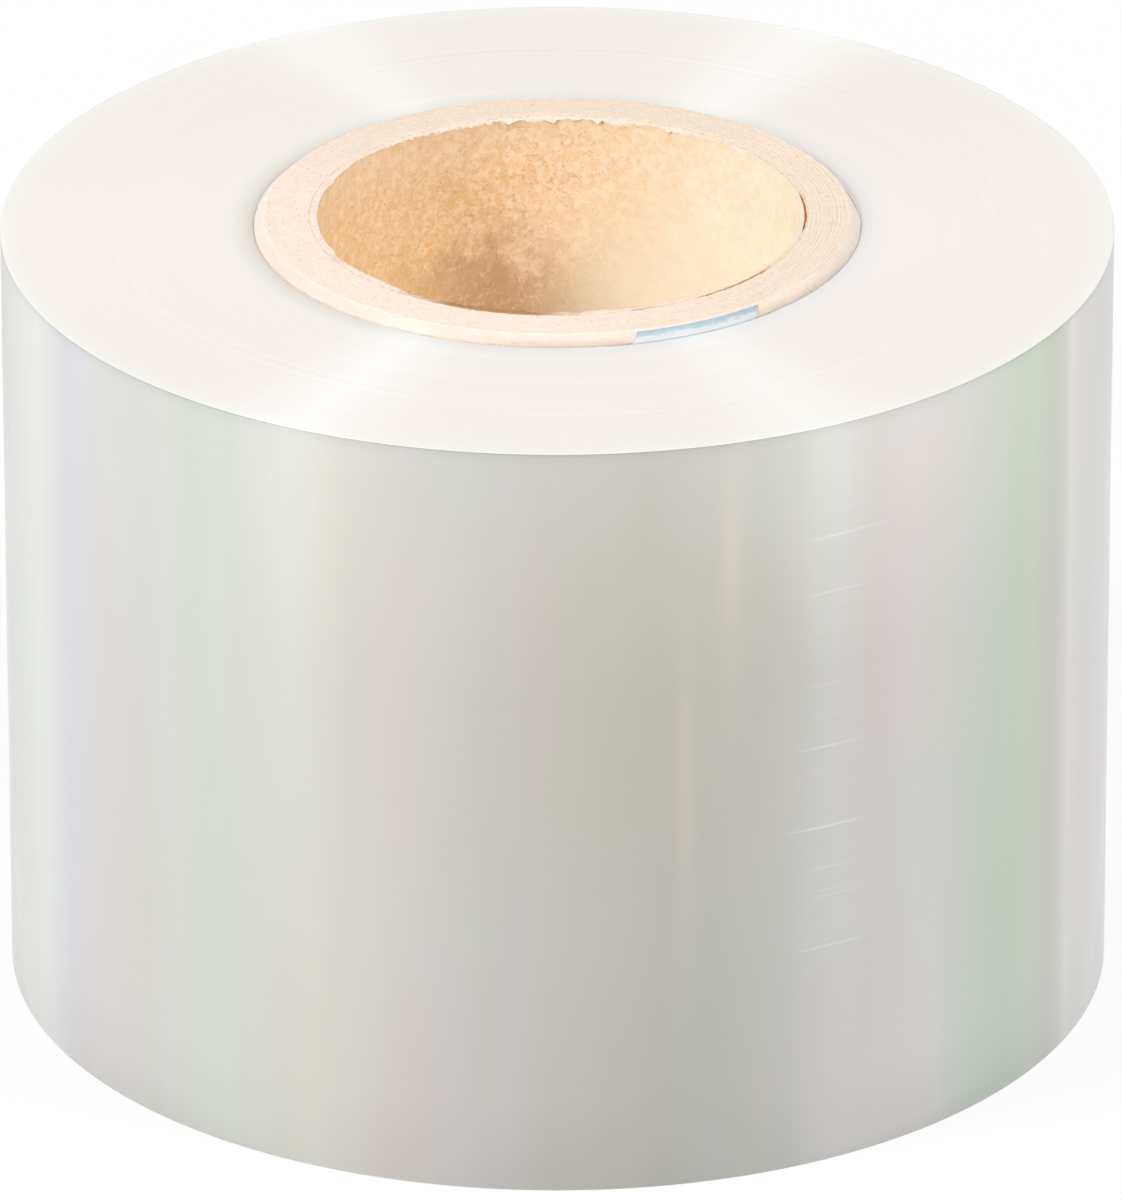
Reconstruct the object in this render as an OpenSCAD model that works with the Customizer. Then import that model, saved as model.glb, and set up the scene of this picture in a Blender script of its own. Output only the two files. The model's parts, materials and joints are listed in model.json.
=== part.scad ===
// Roll of clear sealing film, wound on a thick paper core and stood on one end.
// Millimetres. +Z runs along the core, and the origin is the middle of the bottom face.
// Angles in plan are in degrees from +X, counter-clockwise seen from above.

/* [Paper core] */
// Inside diameter of the core, the common three-inch size
core_bore_d = 76.2; // [50:0.1:152.4]
// Wall of the core
core_wall = 9.3; // [6:0.1:16]
// Height of the core above the film at the top end
core_proud = 1.7; // [1:0.1:8]
// Width of the worn shoulder round the core's top corner
shoulder_w = 1.6; // [0.4:0.1:3]
// Height of that shoulder
shoulder_h = 1.5; // [0.4:0.1:3]

/* [Film] */
// Width of the film, which is the height of the roll without its core
film_w = 125; // [60:1:500]
// Build-up of the wound film, from the core to the outside
film_build = 39.6; // [10:0.1:150]
// Distance between the rings that the turns show on the ends
ring_pitch = 4.9; // [1.5:0.1:8]
// Width of one ring's groove
ring_w = 1.4; // [0.4:0.1:1.4]
// Depth of the deepest ring
ring_depth = 0.2; // [0.05:0.01:0.5]

/* [Starting tape] */
// Width of the tape that held the first turn
tape_w = 15; // [6:1:25]
// Thickness of the tape
tape_t = 0.15; // [0.05:0.01:0.4]
// Length of the strip
tape_length = 50; // [25:1:60]
// Lean of the strip from the core's axis
tape_lean = 45; // [15:1:60]
// Place of the strip round the core, at the film's top face
tape_angle = -63; // [-180:1:180]
// Strip of bare core left above the tape
tape_setback = 0.3; // [0.1:0.05:0.6]

/* [Wear of the core] */
// Thickness of the core's inner ply, which has come loose at the top end
ply_t = 0.65; // [0.4:0.05:1.2]
// Width of the gaps behind the loose ply
gap_w = 0.6; // [0.2:0.05:1.2]
// Depth of those gaps below the core's top end
gap_depth = 4; // [1:0.5:20]
// Radius of the largest nick in the bore's top edge
nick_r = 2.2; // [1:0.1:3]
// Depth of the nicks
nick_depth = 0.8; // [0.3:0.1:2]
// How far the nicks reach into the wall
nick_bite = 0.5; // [0.2:0.05:1]

/* [Hidden] */
$fn = 180;

core_bore_r = core_bore_d / 2;
core_r = core_bore_r + core_wall;
core_top = film_w + core_proud;
shoulder_z = core_top - shoulder_h;
film_r = core_r + film_build;

// The rings are spread evenly over the build-up, then each is moved and deepened unevenly
ring_count = floor(film_build / ring_pitch);
ring_step = film_build / ring_count;
ring_wander = (ring_step - ring_w) / 3;
// Turns of an angle that make the unevenness, and the least share of ring_depth
wander_turn = 137;
depth_turn = 83;
least_depth = 0.3;
function ring_r(i) = core_r + (i + 0.5) * ring_step + ring_wander * sin(wander_turn * i);
function ring_cut(i) = ring_depth * (1 - (1 - least_depth) * (1 + cos(depth_turn * i)) / 2);

// Start and end of each gap behind the loose ply
ply_gaps = [[-72, -67.5], [-55, -33], [-9, 11]];

// Place of each nick in the bore's top edge, and its size as a share of nick_r
nicks = [
    [22, 0.6], [48, 0.8], [64, 0.5], [88, 0.55], [105, 0.7], [122, 0.6], [148, 0.75],
    [168, 1], [196, 0.7], [219, 0.9], [243, 0.65], [263, 0.8], [291, 0.6], [318, 0.7]
];

// How much longer a cutter is than what it cuts
over = 1;

// Radius of the core's outside at height z on the shoulder
function shoulder_r(z) = core_r - shoulder_w * (z - shoulder_z) / shoulder_h;

module core_section() {
    polygon([
        [core_bore_r, 0],
        [core_r, 0],
        [core_r, shoulder_z],
        [shoulder_r(core_top), core_top],
        [core_bore_r, core_top]
    ]);
}

// One wedge-shaped gap behind the inner ply, between two angles in plan
module ply_gap(from, to) {
    gap_r = core_bore_r + ply_t;
    rotate([0, 0, from])
        rotate_extrude(angle = to - from)
            polygon([
                [gap_r, core_top - gap_depth],
                [gap_r, core_top + over],
                [gap_r + gap_w, core_top + over],
                [gap_r + gap_w, core_top]
            ]);
}

// One nick that bites through the bore's top edge
module nick(angle, share) {
    r = nick_r * share;
    rotate([0, 0, angle])
        translate([core_bore_r + nick_bite * share - r, 0, core_top - nick_depth * share])
            cylinder(r = r, h = nick_depth + over);
}

// Spiral-wound paper tube, one glued wall
module core() {
    color([0.95, 0.82, 0.64])
        difference() {
            rotate_extrude() core_section();
            for (g = ply_gaps) ply_gap(g[0], g[1]);
            for (n = nicks) nick(n[0], n[1]);
        }
}

// Outline of the wound film: flat lands with a shallow ring between them, on both ends
module film_section() {
    half = ring_w / 2;
    bottom_end = [for (i = [0 : ring_count - 1]) each [
        [ring_r(i) - half, 0],
        [ring_r(i), ring_cut(i)],
        [ring_r(i) + half, 0]
    ]];
    top_end = [for (i = [ring_count - 1 : -1 : 0]) each [
        [ring_r(i) + half, film_w],
        [ring_r(i), film_w - ring_cut(i)],
        [ring_r(i) - half, film_w]
    ]];
    polygon(concat(
        [[core_r, 0]], bottom_end, [[film_r, 0]],
        [[film_r, film_w]], top_end, [[core_r, film_w]]
    ));
}

// The block that gives the tape its slanting edges, its length and its place
module tape_block() {
    above_film = (core_proud + tape_w * sin(tape_lean)) / cos(tape_lean);
    rotate([0, 0, tape_angle])
        translate([0, 0, film_w])
            rotate([-tape_lean, 0, 0])
                translate([0, -tape_w / 2, -tape_length])
                    cube([core_r + over, tape_w, tape_length + above_film]);
}

// Tape that held the first turn of film, stuck slantwise round the core's outside
module starting_tape() {
    tape_top = core_top - tape_setback;
    color([0.60, 0.79, 0.91])
        intersection() {
            rotate_extrude()
                polygon([
                    [core_r, 0],
                    [core_r + tape_t, 0],
                    [core_r + tape_t, shoulder_z],
                    [shoulder_r(tape_top) + tape_t, tape_top],
                    [shoulder_r(tape_top), tape_top],
                    [core_r, shoulder_z]
                ]);
            tape_block();
        }
}

// The wound film, all its turns as one solid, with room for the tape in its bore
module film() {
    color([0.87, 0.89, 0.88])
        difference() {
            rotate_extrude() film_section();
            intersection() {
                cylinder(r = core_r + tape_t, h = film_w);
                tape_block();
            }
        }
}

core();
film();
starting_tape();
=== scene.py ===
import json
import math

import bpy
import numpy as np
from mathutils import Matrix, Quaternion, Vector


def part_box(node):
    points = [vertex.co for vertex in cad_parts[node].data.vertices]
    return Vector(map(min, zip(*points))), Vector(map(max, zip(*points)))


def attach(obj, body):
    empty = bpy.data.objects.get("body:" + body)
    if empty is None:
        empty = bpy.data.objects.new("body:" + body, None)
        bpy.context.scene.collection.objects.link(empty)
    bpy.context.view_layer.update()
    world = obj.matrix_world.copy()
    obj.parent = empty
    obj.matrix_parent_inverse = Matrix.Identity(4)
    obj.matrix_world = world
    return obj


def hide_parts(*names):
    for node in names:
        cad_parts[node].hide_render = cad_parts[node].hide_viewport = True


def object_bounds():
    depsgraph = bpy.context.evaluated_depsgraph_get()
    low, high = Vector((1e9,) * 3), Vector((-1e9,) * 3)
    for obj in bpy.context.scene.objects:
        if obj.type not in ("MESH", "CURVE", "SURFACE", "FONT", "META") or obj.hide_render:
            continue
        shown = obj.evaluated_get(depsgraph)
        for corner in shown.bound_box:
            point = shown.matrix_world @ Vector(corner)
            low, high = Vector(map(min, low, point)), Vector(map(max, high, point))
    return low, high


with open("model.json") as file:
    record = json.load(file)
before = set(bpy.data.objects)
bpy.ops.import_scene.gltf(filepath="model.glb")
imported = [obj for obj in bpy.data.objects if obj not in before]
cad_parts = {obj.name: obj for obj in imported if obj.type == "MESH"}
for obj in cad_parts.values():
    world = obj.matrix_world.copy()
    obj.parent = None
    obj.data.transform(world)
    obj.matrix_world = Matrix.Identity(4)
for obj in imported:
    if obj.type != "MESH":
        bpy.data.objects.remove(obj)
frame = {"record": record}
cadLow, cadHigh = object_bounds()

# Sizes come from the CAD frame, and are used here in millimetres
mm = 0.001
coreLow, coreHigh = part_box("core")
filmLow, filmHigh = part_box("film")
tapeLow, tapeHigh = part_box("starting_tape")
coreBore = next(m for m in frame["record"]["mounts"] if m["name"] == "core_bore")
boreRadius = coreBore["dims"]["r_mm"]
coreRadius = (coreHigh.x - coreLow.x) / 2 / mm
filmRadius = (cadHigh.x - cadLow.x) / 2 / mm
coreTop = coreHigh.z / mm
filmTop = filmHigh.z / mm
tapeTop = tapeHigh.z / mm


# The camera looks along +Y and down, as in the photo
photoCamera = {
    "elevation": 25.0,  # degrees above the table
    "distance": 2.6,  # metres
    "focalLength": 494.5,  # mm
    "sensor": 36,  # mm along the longer side of the picture
    "lookAt": (0.0005, -0.0009, 0.0606),  # metres
    "roll": 0.07,  # degrees
    "clip": (0.05, 60),  # metres
}


def setCamera(values):
    cameraData = bpy.data.cameras.new("photoCamera")
    cameraData.sensor_width = values["sensor"]
    cameraData.lens = values["focalLength"]
    cameraData.clip_start, cameraData.clip_end = values["clip"]
    camera = bpy.data.objects.new("photoCamera", cameraData)
    bpy.context.scene.collection.objects.link(camera)
    elevation = math.radians(values["elevation"])
    back = Vector((0, -math.cos(elevation), math.sin(elevation)))
    camera.location = Vector(values["lookAt"]) + back * values["distance"]
    camera.rotation_mode = "QUATERNION"
    turn = Quaternion(-back, math.radians(values["roll"]))
    camera.rotation_quaternion = turn @ (-back).to_track_quat("-Z", "Y")
    bpy.context.scene.camera = camera


setCamera(photoCamera)
bpy.context.scene.view_settings.view_transform = "Standard"
print("camera in place")


# An sRGB hex value as a linear colour
def linearColour(hexCode):
    channels = [int(hexCode[i:i + 2], 16) / 255 for i in (1, 3, 5)]
    return [c / 12.92 if c <= 0.04045 else ((c + 0.055) / 1.055) ** 2.4 for c in channels] + [1.0]


# Settings of a range with soft ends
smooth = {"interpolation_type": "SMOOTHSTEP"}


# Adds a node to a tree and gives one of its outputs. Its settings can be just an operation's name.
# An input is a value or another node's output. It goes by name, or by number where names repeat:
# Mix has its vectors at 4 and 5, and its colours at 6 and 7
def addNode(tree, kind, settings=None, inputs=None, out=0, stops=None):
    node = tree.nodes.new("ShaderNode" + kind)
    if isinstance(settings, str):
        settings = {"operation": settings}
    for name, value in (settings or {}).items():
        setattr(node, name, value)
    for name, value in (inputs or {}).items():
        if isinstance(value, bpy.types.NodeSocket):
            tree.links.new(value, node.inputs[name])
        else:
            node.inputs[name].default_value = value
    if stops:
        points = node.color_ramp.elements
        while len(points) < len(stops):
            points.new(1)
        for point, (place, colour) in zip(points, stops):
            point.position = place
            point.color = linearColour(colour)
    return node.outputs[out] if len(node.outputs) else None


def newTree(name):
    material = bpy.data.materials.new(name)
    material.use_nodes = True
    material.node_tree.nodes.clear()
    return material, material.node_tree


# Soft studio light: a softbox on each side of the camera, the left one the key, and a white room
studio = {
    "roomStrength": 0.385,
    "roomFront": 0.345,  # how much brighter the room is high up behind the camera
    "frontSide": (0, -0.7, 0.7),  # where that is
    "frontFocus": 2.0,  # how closely it gathers there
    "lampAzimuth": (-63, 63),  # degrees round from the camera, right is plus
    "lampElevation": 42,
    "lampDistance": 4.8,
    "lampSize": ((1.22, 1.86), (0.8, 1.34)),  # metres, width and height
    "lampPower": (170.0, 110.0),  # watts
    "floorColour": "#E6E5E3",
    "floorRoughness": 0.8,
    "floorWhiteness": 0.92,  # share of plain white that the camera sees on the floor
    "floorHalf": 12.0,  # metres from its middle to its edges
    "floorDrop": 0.1,  # mm below the roll, so that the two don't share one plane
}


def setStudio(values):
    scene = bpy.context.scene
    scene.world = bpy.data.worlds.new("studioRoom")
    scene.world.use_nodes = True
    tree = scene.world.node_tree
    tree.nodes.clear()
    wayOut = addNode(tree, "TexCoord", out="Generated")
    front = addNode(tree, "VectorMath", "DOT_PRODUCT", {0: wayOut, 1: values["frontSide"]}, out="Value")
    front = addNode(tree, "Math", "MAXIMUM", {0: front, 1: 0.0})
    front = addNode(tree, "Math", "POWER", {0: front, 1: values["frontFocus"]})
    glow = addNode(tree, "Math", "MULTIPLY_ADD", {
        0: front, 1: values["roomFront"], 2: values["roomStrength"],
    })
    seen = addNode(tree, "LightPath", out="Is Camera Ray")
    strength = addNode(tree, "Mix", {}, {"Factor": seen, "A": glow, "B": 1.0})
    room = addNode(tree, "Background", {}, {"Color": (1, 1, 1, 1), "Strength": strength})
    addNode(tree, "OutputWorld", {}, {"Surface": room})

    aim = Vector((0, 0, cadHigh.z))
    elevation = math.radians(values["lampElevation"])
    for side, name in enumerate(("softboxLeft", "softboxRight")):
        azimuth = math.radians(values["lampAzimuth"][side])
        away = Vector((
            math.sin(azimuth) * math.cos(elevation),
            -math.cos(azimuth) * math.cos(elevation),
            math.sin(elevation),
        ))
        lamp = bpy.data.lights.new(name, "AREA")
        lamp.shape = "RECTANGLE"
        lamp.size, lamp.size_y = values["lampSize"][side]
        lamp.energy = values["lampPower"][side]
        softbox = bpy.data.objects.new(name, lamp)
        softbox.location = aim + away * values["lampDistance"]
        softbox.rotation_euler = (-away).to_track_quat("-Z", "Y").to_euler()
        scene.collection.objects.link(softbox)

    material, tree = newTree("Matt white table")
    table = addNode(tree, "BsdfPrincipled", {}, {
        "Base Color": linearColour(values["floorColour"]),
        "Roughness": values["floorRoughness"],
    })
    white = addNode(tree, "Emission", {}, {"Color": (1, 1, 1, 1), "Strength": 1.0})
    path = addNode(tree, "LightPath").node.outputs
    seen = addNode(tree, "Math", "MAXIMUM", {0: path["Is Camera Ray"], 1: path["Is Glossy Ray"]})
    share = addNode(tree, "Math", "MULTIPLY", {0: seen, 1: values["floorWhiteness"]})
    mixed = addNode(tree, "MixShader", {}, {0: share, 1: table, 2: white})
    addNode(tree, "OutputMaterial", {}, {"Surface": mixed})

    half = values["floorHalf"]
    below = -values["floorDrop"] * mm
    corners = [(-half, -half, below), (half, -half, below), (half, half, below), (-half, half, below)]
    mesh = bpy.data.meshes.new("table")
    mesh.from_pydata(corners, [], [(0, 1, 2, 3)])
    mesh.materials.append(material)
    floor = bpy.data.objects.new("table", mesh)
    scene.collection.objects.link(floor)


setStudio(studio)
print("studio in place")


# Where a point is on the roll, in mm, and its angle from the front towards +X, in radians
def rollPlace(tree):
    metres = addNode(tree, "TexCoord", out="Object")
    point = addNode(tree, "VectorMath", "SCALE", {0: metres, "Scale": 1 / mm})
    parts = addNode(tree, "SeparateXYZ", {}, {0: point}).node.outputs
    flat = addNode(tree, "VectorMath", "MULTIPLY", {0: point, 1: (1, 1, 0)})
    front = addNode(tree, "Math", "MULTIPLY", {0: parts["Y"], 1: -1.0})
    return {
        "point": point,
        "height": parts["Z"],
        "radius": addNode(tree, "VectorMath", "LENGTH", {0: flat}, out="Value"),
        "around": addNode(tree, "VectorMath", "NORMALIZE", {0: flat}),
        "angle": addNode(tree, "Math", "ARCTAN2", {0: parts["X"], 1: front}),
    }


# Noise with grains so many mm long round the roll and across it, without a seam. Across is up
# the roll's height or out along its radius
def rollGrain(tree, place, circle, around, axis, across, detail=1.0):
    turned = addNode(tree, "VectorMath", "SCALE", {0: place["around"], "Scale": circle / around})
    level = addNode(tree, "Math", "MULTIPLY", {0: place[axis], 1: 1 / across})
    raised = addNode(tree, "CombineXYZ", {}, {"Z": level})
    spot = addNode(tree, "VectorMath", "ADD", {0: turned, 1: raised})
    return addNode(tree, "TexNoise", {}, {"Vector": spot, "Scale": 1.0, "Detail": detail, "Roughness": 0.55})


# Adds layers of noise to a brightness. Each layer is its grain in mm round the roll and across
# it, and how far it moves the brightness either way
def addGrain(tree, place, circle, axis, shade, layers):
    for around, across, amount in layers:
        grain = rollGrain(tree, place, circle, around, axis, across)
        change = addNode(tree, "MapRange", {}, {
            "Value": grain, "From Min": 0.3, "From Max": 0.7, "To Min": -amount, "To Max": amount,
        })
        shade = addNode(tree, "Math", "ADD", {0: shade, 1: change})
    return shade


# One where a value lies within reach of a middle, and softly zero outside
def bandMask(tree, value, middle, reach):
    away = addNode(tree, "Math", "SUBTRACT", {0: value, 1: middle})
    away = addNode(tree, "Math", "ABSOLUTE", {0: away})
    return addNode(tree, "MapRange", smooth, {
        "Value": away, "From Min": 0.0, "From Max": reach, "To Min": 1.0, "To Max": 0.0,
    })


# Colours that blend round the roll, each at its angle from the front in degrees
def rampByAngle(tree, angle, colours):
    turn = addNode(tree, "MapRange", {}, {"Value": angle, "From Min": -math.pi, "From Max": math.pi})
    stops = [((degrees + 180) / 360, colour) for degrees, colour in colours]
    return addNode(tree, "ValToRGB", {}, {0: turn}, stops=stops)


# Lays tones over a colour, one after another. Each is its share, then its name or a node's output
def layTones(tree, values, colour, tones):
    for share, tone in tones:
        tint = linearColour(values[tone]) if isinstance(tone, str) else tone
        colour = addNode(tree, "Mix", {"data_type": "RGBA"}, {0: share, 6: colour, 7: tint}, out=2)
    return colour


# Ends a material: its colour, its relief with the bump's strength and depth in mm, and more inputs
def finishMaterial(tree, values, colour, relief, more):
    strength, depth = values["bump"]
    normal = addNode(tree, "Bump", {}, {"Height": relief, "Strength": strength, "Distance": depth * mm})
    surface = addNode(tree, "BsdfPrincipled", {}, {
        "Base Color": colour,
        "Roughness": values["roughness"],
        "Specular IOR Level": values["specular"],
        "Normal": normal,
        **more,
    })
    addNode(tree, "OutputMaterial", {}, {"Surface": surface})


# Clear polyolefin film, wound under tension. Hundreds of glassy layers with a little air between
# them look pearly grey from the side, with a painted reflection of the room: darker to the front,
# lighter to the sides. Faint colours, a painted iridescent sheen, run up the roll where the film's
# thickness differs, lamps draw out into upright streaks, and handling leaves fine scratches round
# the roll, painted as lighter glints where the right lamp's streak falls.
filmSide = {
    # Pearly grey by angle from the front, in degrees, towards +X, with painted reflection: darker
    # towards the front, lighter to the sides, and bright narrow bands near -67 and 66 where a
    # softbox's edge is painted in
    "greysWithPaintedReflection": (
        (-180, "#C4C4C0"), (-130, "#C0C1BD"), (-100, "#C4C3BF"), (-84, "#B6B6B4"), (-77, "#C4C5C2"),
        (-67, "#D4D5D3"), (-64, "#CCCCCC"), (-61, "#C5C5C3"), (-47, "#C5C5C2"), (-37, "#C6C7C2"),
        (-30, "#BBBCB8"), (-18, "#C0BFBB"), (-10, "#BAB9B6"), (-4, "#B4B3B0"), (3, "#B0AFAA"),
        (11, "#ADACA7"), (19, "#B1B1AC"), (25, "#AEAEAB"), (31, "#BAB9B6"), (39, "#C4C4C1"),
        (58, "#C3C3BF"), (62, "#BBBBB6"), (64.5, "#C2C2BF"), (66, "#D1D0CD"), (69, "#C9C9C6"),
        (76, "#C4C4C2"), (86, "#BABAB9"), (115, "#BFBFBB"), (180, "#C4C4C0"),
    ),
    # The faint play of colours, a painted iridescent sheen, as the tints that this plain grey would
    # take: the heights in mm over which they fade in and out, then angle in degrees and tint
    "plain": "#E6E6E6",
    "paintedSheenTints": (
        (None, (
            (-180, "#E6E6E3"), (-160, "#E6E6E6"), (-128, "#E6E6E6"), (-112, "#E0E6E1"),
            (-95, "#E6E6E6"), (-72, "#E7E6E6"), (-66, "#E3E6E5"), (-63.5, "#E5E6EA"), (-60, "#E6E6F2"),
            (-56.5, "#E7E6E9"), (-52, "#E6E6E6"), (-36, "#E3E6E3"), (-30, "#E5E6E2"), (-25, "#E6E6E0"),
            (-18, "#E7E6E5"), (-12, "#E8E6E6"), (0, "#E6E6E4"), (18, "#E6E6E5"), (24, "#E7E6E4"),
            (31, "#E6E6E6"), (44, "#E6E6E6"), (49, "#DFE6E0"), (55, "#D7E6D7"), (60, "#E0E6DC"),
            (64, "#E7E6E4"), (68, "#E8E6E6"), (78, "#E8E5E8"), (95, "#E6E6E6"), (128, "#DFE6E0"),
            (142, "#E6E6E6"), (180, "#E6E6E3"),
        )),
        ((42, 70, 100, 122), (
            (-154, "#E6E6E6"), (-146, "#EBE5E6"), (-138, "#E6E6E6"), (-96, "#E6E6E6"),
            (-88, "#E9E5E6"), (-80, "#E6E6E6"), (-27, "#E6E6E6"), (-22, "#E8E6E6"), (-14, "#EBE5E7"),
            (-7, "#EAE5E6"), (-1, "#E8E6E3"), (6, "#E8E6E0"), (14, "#E8E6E1"), (21, "#E7E6E3"),
            (29, "#E6E6E6"),
        )),
        ((58, 74, 116, 130), (
            (28, "#E6E6E6"), (32, "#EAE6E6"), (36, "#EDE5E7"), (41, "#EDE5E7"), (43.5, "#EAE6E6"),
            (46.5, "#E6E6E6"),
        )),
        ((-60, -30, 22, 66), (
            (-180, "#E6E6E6"), (-64, "#E7E6E6"), (-58, "#EAE6E6"), (-54, "#EBE5E6"), (-48, "#E7E6E6"),
            (-44, "#E6E6E6"), (-26, "#E6E6E5"), (-20, "#E9E6E6"), (-16, "#E8E6E6"), (-12, "#E8E6E7"),
            (0, "#E6E6E6"), (5, "#E7E6E7"), (9, "#EAE5E7"), (14, "#E6E6E6"), (18, "#E3E6E7"),
            (24, "#E5E6E6"), (30, "#E7E6E8"), (36, "#E9E6EA"), (43, "#E6E6E7"), (50, "#E3E6E6"),
            (56, "#E2E6E5"), (64, "#E6E6E6"), (104, "#EAE5E5"), (116, "#E6E6E6"),
        )),
    ),
    # Brighter streaks, all painted: angle and half width in degrees, lower and upper end in mm, and
    # how much more red, green and blue. The wide first one is painted light, brighter towards the top
    # on the +X half; the narrow ones are painted iridescent hairlines
    "paintedStreaks": (
        (32, 50.0, 80, 170, (1.19, 1.19, 1.18)),
        (13.1, 1.7, 26, 112, (1.13, 1.06, 1.04)),
        (17.6, 1.7, 68, 140, (1.13, 1.06, 1.03)),
        (-128, 1.8, 5, 95, (1.12, 1.06, 1.04)),
        (151, 1.6, 35, 125, (1.12, 1.06, 1.04)),
    ),
    "tintLean": -0.0004,  # radians that the tints lean for each mm of height
    "tintWander": 0.03,  # radians that they wander
    "tintGrain": (30, 80),  # mm round the roll and up, as are all grains here
    # A pearl play between rose and sage
    "pearl": ((0.34, "#FFFCFB"), (0.5, "#FFFFFF"), (0.66, "#FBFFFB")),
    "pearlGrain": (20, 110),
    # Brightness by height, as a share of the film's width from the bottom: painted light, brighter
    # towards the top where light comes in through the end face, and a thin darker line at the very top
    "heights": (
        (0.0, "#F4F4F4"), (0.12, "#FCFCFC"), (0.3, "#FAFAFA"), (0.45, "#FBFBFB"), (0.75, "#FDFDFD"),
        (0.985, "#FFFFFF"), (0.996, "#F8F8F8"), (1.0, "#DCDCDC"),
    ),
    "grain": ((1.3, 70, 0.004), (6, 110, 0.009), (40, 0.6, 0.003)),  # with its share of brightness
    "scratchRow": 6.7,  # mm between the rows that scratches keep to
    "scratchWidth": 0.33,  # mm
    "scratchTilt": (-0.12, 0.2),  # rows that they rise over a radian, least and most
    "scratchReach": (0.05, 0.12),  # radians, half their length, least and most
    "scratchGlintAngle": 29.5,  # degrees from the front, the middle of the patch where the right lamp's streak falls and the scratches are painted as glints
    "scratchHeights": (32, 114),  # mm, its lower and upper end
    "scratchShare": 0.5,
    # Painted glint: the scratches lighter than the film, where the lamp catches them
    "scratchGlintColour": "#DBDAD8",
    "hairGrain": (24, 0.4),  # of the hair-fine scratches
    "drawnGrain": (1.6, 80),  # of the fine lines that the film was drawn out in
    "bump": (0.5, 0.01),
    "roughness": 0.42,
    "anisotropy": 1.0,
    "specular": 1.0,
    "clearSkin": 0.7,
    "clearSkinRoughness": 0.06,
}


# Scratches round the roll, painted as lighter glints in the patch where the right lamp's streak
# falls: one for each row of height, each at its own place and of its own length, with hair-fine
# ones brushed in among them
def scratchGlintMask(tree, place, values):
    row = addNode(tree, "Math", "MULTIPLY", {0: place["height"], 1: 1 / values["scratchRow"]})
    rowNumber = addNode(tree, "Math", "FLOOR", {0: row})
    chance = addNode(tree, "TexWhiteNoise", {"noise_dimensions": "1D"}, {"W": rowNumber}, out="Color")
    chances = addNode(tree, "SeparateColor", {}, {0: chance}).node.outputs
    inRow = addNode(tree, "Math", "FRACT", {0: row})
    level = addNode(tree, "MapRange", {}, {"Value": chances["Red"], "To Min": 0.15, "To Max": 0.85})
    flattest, steepest = values["scratchTilt"]
    tilt = addNode(tree, "MapRange", {}, {"Value": chances["Green"], "To Min": flattest, "To Max": steepest})
    level = addNode(tree, "Math", "MULTIPLY_ADD", {0: place["angle"], 1: tilt, 2: level})
    thin = bandMask(tree, inRow, level, values["scratchWidth"] / values["scratchRow"])
    middle = math.radians(values["scratchGlintAngle"])
    centre = addNode(tree, "MapRange", {}, {
        "Value": chances["Green"], "To Min": middle - 0.03, "To Max": middle + 0.03,
    })
    shortest, longest = values["scratchReach"]
    reach = addNode(tree, "MapRange", {}, {"Value": chances["Blue"], "To Min": shortest, "To Max": longest})
    away = addNode(tree, "Math", "SUBTRACT", {0: place["angle"], 1: centre})
    away = addNode(tree, "Math", "ABSOLUTE", {0: away})
    away = addNode(tree, "Math", "DIVIDE", {0: away, 1: reach})
    length = addNode(tree, "MapRange", smooth, {
        "Value": away, "From Min": 0.2, "From Max": 1.0, "To Min": 1.0, "To Max": 0.0,
    })
    depth = addNode(tree, "MapRange", {}, {"Value": chances["Blue"], "To Min": 0.2})
    length = addNode(tree, "Math", "MULTIPLY", {0: length, 1: depth})
    mask = addNode(tree, "Math", "MULTIPLY", {0: thin, 1: length})

    around, up = values["hairGrain"]
    hair = rollGrain(tree, place, filmRadius, around, "height", up)
    hair = addNode(tree, "MapRange", {}, {"Value": hair, "From Min": 0.56, "From Max": 0.8, "To Max": 0.3})
    patch = bandMask(tree, place["angle"], middle + 0.02, 0.17)
    hair = addNode(tree, "Math", "MULTIPLY", {0: hair, 1: patch})
    mask = addNode(tree, "Math", "MAXIMUM", {0: mask, 1: hair})
    low, high = values["scratchHeights"]
    for start, end in ((low - 4, low + 4), (high + 4, high - 4)):
        inside = addNode(tree, "MapRange", {}, {"Value": place["height"], "From Min": start, "From Max": end})
        mask = addNode(tree, "Math", "MULTIPLY", {0: mask, 1: inside})
    return mask


# Multiplies a colour by painted sheen tints that follow an angle, between some heights only
def tintAround(tree, place, values, angle, colour, heights, paintedSheenTints):
    tint = rampByAngle(tree, angle, paintedSheenTints)
    plain = linearColour(values["plain"])
    if heights:
        start, full, fade, end = heights
        share = addNode(tree, "MapRange", smooth, {
            "Value": place["height"], "From Min": start, "From Max": full,
        })
        fadeOut = addNode(tree, "MapRange", smooth, {
            "Value": place["height"], "From Min": end, "From Max": fade,
        })
        share = addNode(tree, "Math", "MULTIPLY", {0: share, 1: fadeOut})
        tint = layTones(tree, values, plain, ((share, tint),))
    colour = addNode(tree, "VectorMath", "MULTIPLY", {0: colour, 1: tint})
    return addNode(tree, "VectorMath", "SCALE", {0: colour, "Scale": 1 / plain[0]})


# Wound film draws the shine of each lamp out, across its turns
def drawnShine(tree, values):
    return {
        "Anisotropic": values["anisotropy"],
        "Anisotropic Rotation": 0.25,
        "Tangent": addNode(tree, "Tangent", {"direction_type": "RADIAL", "axis": "Z"}),
        "IOR": 1.5,
    }


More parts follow.
